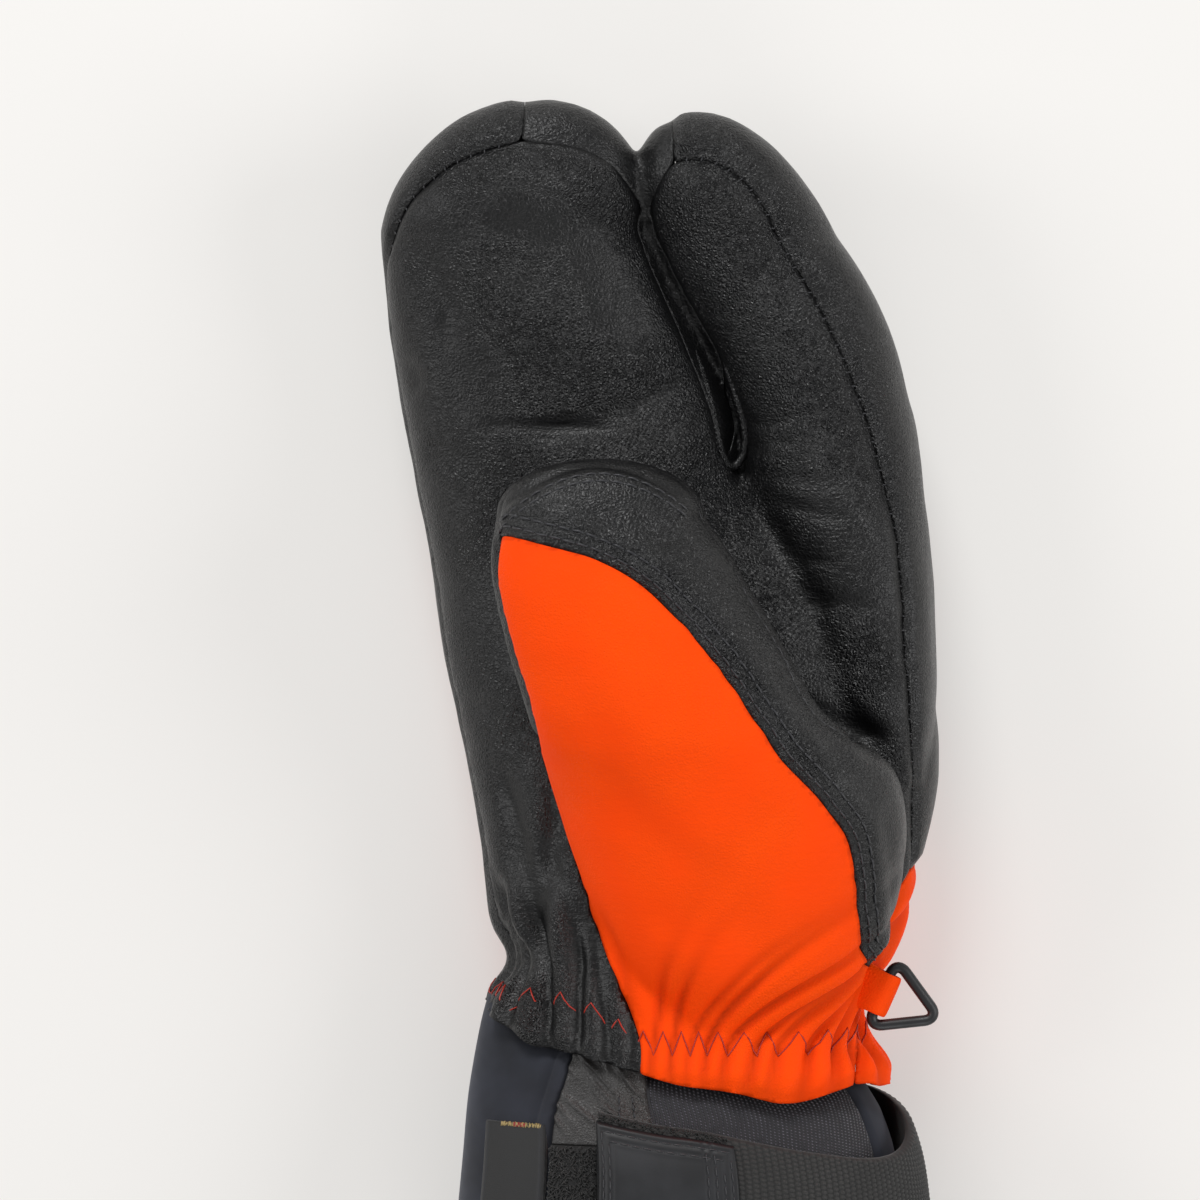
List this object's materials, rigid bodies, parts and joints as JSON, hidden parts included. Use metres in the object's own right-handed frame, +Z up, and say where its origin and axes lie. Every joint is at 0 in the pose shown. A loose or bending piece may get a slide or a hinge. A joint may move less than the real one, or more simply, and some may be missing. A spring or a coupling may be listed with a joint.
{
  "type": "three-finger ski mitt",
  "caption": "Right-hand padded leather ski mitt with a pocket for three fingers, a separate index finger, a folded thumb, a gathered wrist, and a stretch cuff with a closure strap and a ring.",
  "frame": {"origin": "on the surface that the mitt lies on, under the middle of its box", "axes": "+Y towards the fingertips, +X towards the thumb side, +Z up, out of the palm"},
  "size_m": [0.1216, 0.278, 0.0844],
  "materials": {
    "black_leather": "goat leather, pebbled, satin",
    "orange_leather": "dyed leather, fine grain, matt",
    "grey_leather": "thin soft leather, matt",
    "foam_knit": "foam with knitted faces, matt",
    "stretch_weave": "ribbed stretch weave, slight sheen",
    "webbing": "flat woven webbing, matt",
    "smooth_tab": "coated synthetic leather, smooth",
    "loop_pile": "hook-and-loop pile, fuzzy",
    "label_weave": "woven label, plain",
    "coated_wire": "moulded, satin"
  },
  "bodies": {
    "mitt": {"palm_panel": "black_leather", "little_finger_side_strip": "black_leather", "finger_gap_strip": "black_leather", "index_side_strip": "black_leather", "pocket_back_panel": "black_leather", "index_back_panel": "black_leather", "hand_back_panel": "orange_leather", "thumb_back_panel": "orange_leather", "thumb_cap_panel": "black_leather", "thumb_underside_panel": "black_leather", "cuff_wrap": "foam_knit", "cuff_gusset": "stretch_weave", "cuff_placket": "grey_leather", "loop_patch": "loop_pile", "cuff_label": "label_weave", "closure_strap": "webbing", "strap_tab": "smooth_tab", "ring_loop": "orange_leather"},
    "ring": {"triangle_ring": "coated_wire"}
  },
  "joints": [
    {"name": "ring_swing", "type": "hinge", "parent": "mitt", "child": "ring", "pos_m": [0.0474, -0.0542, 0.04549], "axis": [0.4067, 0.9135, 0], "range_deg": [-95, 75]}
  ]
}
